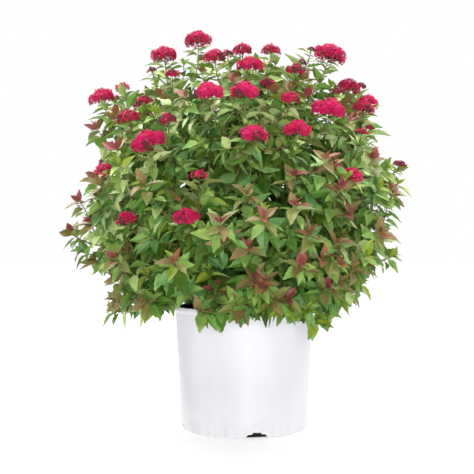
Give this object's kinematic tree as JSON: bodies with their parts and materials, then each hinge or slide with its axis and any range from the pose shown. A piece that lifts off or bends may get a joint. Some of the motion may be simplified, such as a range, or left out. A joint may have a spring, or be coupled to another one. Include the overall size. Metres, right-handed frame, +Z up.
{
  "type": "potted spirea shrub",
  "caption": "Rounded leafy spirea shrub with domed crimson flower heads and bronze young tips, growing from stems in a round white nursery pot.",
  "frame": {"origin": "middle of the pot's flat underside", "axes": "+Z up along the pot's axis, -Y towards the front, +X to the right seen from the front"},
  "size_m": [0.6779, 0.7394, 0.7767],
  "materials": {
    "pot_plastic": "satin white moulded plastic",
    "potting_mix": "dark crumbly bark potting mix",
    "bark": "thin brown bark with fine furrows",
    "foliage": "matt green leaves, crimson flower heads and bronze young tips"
  },
  "bodies": {
    "root": {"pot": "pot_plastic", "potting_mix": "potting_mix", "stem_1": "bark", "stem_2": "bark", "stem_3": "bark", "stem_4": "bark", "stem_5": "bark", "stem_6": "bark", "stem_7": "bark", "stem_8": "bark", "stem_9": "bark", "bough_1": "bark", "bough_2": "bark", "bough_3": "bark", "bough_4": "bark", "bough_5": "bark", "bough_6": "bark", "bough_7": "bark", "bough_8": "bark", "bough_9": "bark", "bough_10": "bark", "bough_11": "bark", "bough_12": "bark", "bough_13": "bark", "bough_14": "bark", "bough_15": "bark", "bough_16": "bark", "bough_17": "bark", "foliage_crown_top_1": "foliage", "foliage_crown_top_2": "foliage", "foliage_crown_top_3": "foliage", "foliage_shoulder_1": "foliage", "foliage_shoulder_2": "foliage", "foliage_shoulder_3": "foliage", "foliage_shoulder_4": "foliage", "foliage_shoulder_5": "foliage", "foliage_shoulder_6": "foliage", "foliage_waist_1": "foliage", "foliage_waist_2": "foliage", "foliage_waist_3": "foliage", "foliage_waist_4": "foliage", "foliage_waist_5": "foliage", "foliage_waist_6": "foliage", "foliage_waist_7": "foliage", "foliage_waist_8": "foliage", "foliage_skirt_1": "foliage", "foliage_skirt_2": "foliage", "foliage_skirt_3": "foliage", "foliage_skirt_4": "foliage", "foliage_skirt_5": "foliage", "foliage_skirt_6": "foliage", "foliage_skirt_7": "foliage", "foliage_skirt_8": "foliage", "foliage_skirt_9": "foliage"}
  },
  "joints": []
}
